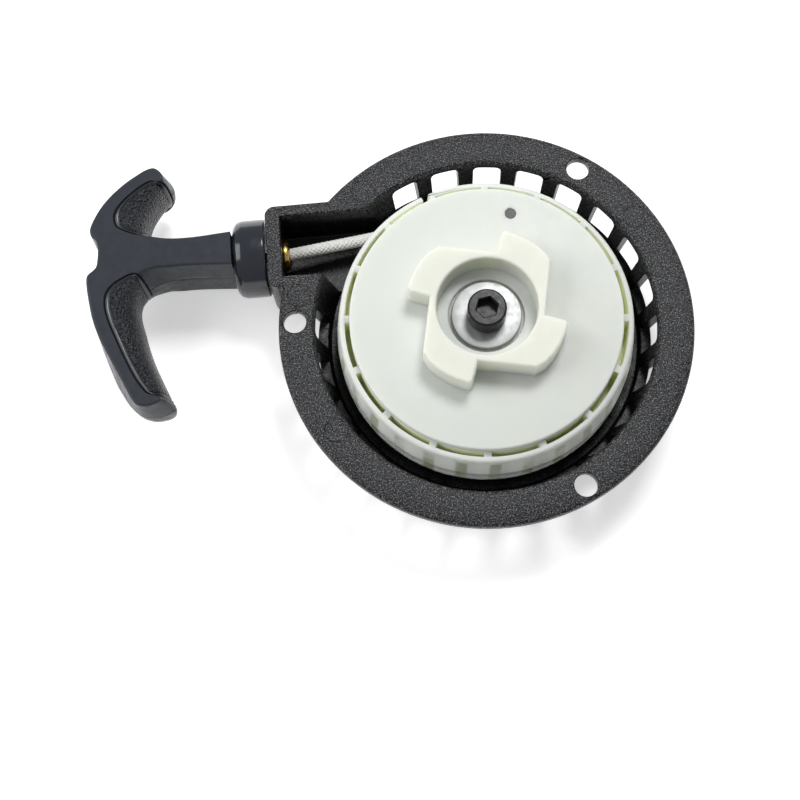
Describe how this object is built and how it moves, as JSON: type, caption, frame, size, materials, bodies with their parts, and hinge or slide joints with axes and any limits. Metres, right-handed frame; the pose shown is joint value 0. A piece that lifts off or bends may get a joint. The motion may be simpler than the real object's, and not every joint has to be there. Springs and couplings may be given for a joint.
{
  "type": "recoil starter",
  "caption": "Recoil starter: a vented plastic cup with a bolted flange, a clawed rope spool on a spring, and a T-handle on a rope.",
  "frame": {"origin": "centre of the flange's mounting face, on the spool axis", "axes": "+Z along the spool axis towards the engine; the rope leaves towards -X"},
  "size_m": [0.158, 0.108, 0.0377],
  "materials": {
    "housing_plastic": "coarse moulded texture on the flange, smoother inside",
    "spool_nylon": "natural nylon, slightly translucent",
    "handle_plastic": "semi-gloss",
    "grip": "leather grain",
    "rope": "white braid with grey flecks",
    "brass": "polished",
    "plated_steel": "zinc plated, satin",
    "black_steel": "black oxide",
    "pin_steel": "dull",
    "spring_steel": "blued strip"
  },
  "bodies": {
    "casing": {"housing": "housing_plastic", "post_insert": "brass", "rope_eyelet": "brass", "main_spring": "spring_steel", "spring_plate": "plated_steel", "retaining_washer": "plated_steel", "centre_screw": "black_steel", "rope_run": "rope"},
    "reel": {"spool": "spool_nylon", "rope_anchor_pin": "pin_steel", "rope_tie": "rope", "rope_coil": "rope"},
    "pull": {"collar": "handle_plastic", "handle_front": "handle_plastic", "handle_back": "handle_plastic", "grip_pad_short": "grip", "grip_pad_long": "grip", "handle_knot": "rope", "knot_washer": "plated_steel"}
  },
  "joints": [
    {"name": "handle_pull", "type": "slide", "parent": "casing", "child": "pull", "axis": [-1, 0, 0], "range_m": [0, 0.5], "stiffness_N_per_m": 20, "springref_m": -0.4, "deforming": ["rope_run"]},
    {"name": "reel_spin", "type": "hinge", "parent": "casing", "child": "reel", "pos_m": [0, 0, 0], "axis": [0, 0, 1], "range_deg": [0, 1000], "deforming": ["main_spring"]}
  ],
  "couplings": [
    {"joint": "reel_spin", "follows": "handle_pull", "rad_per_m": 34}
  ]
}
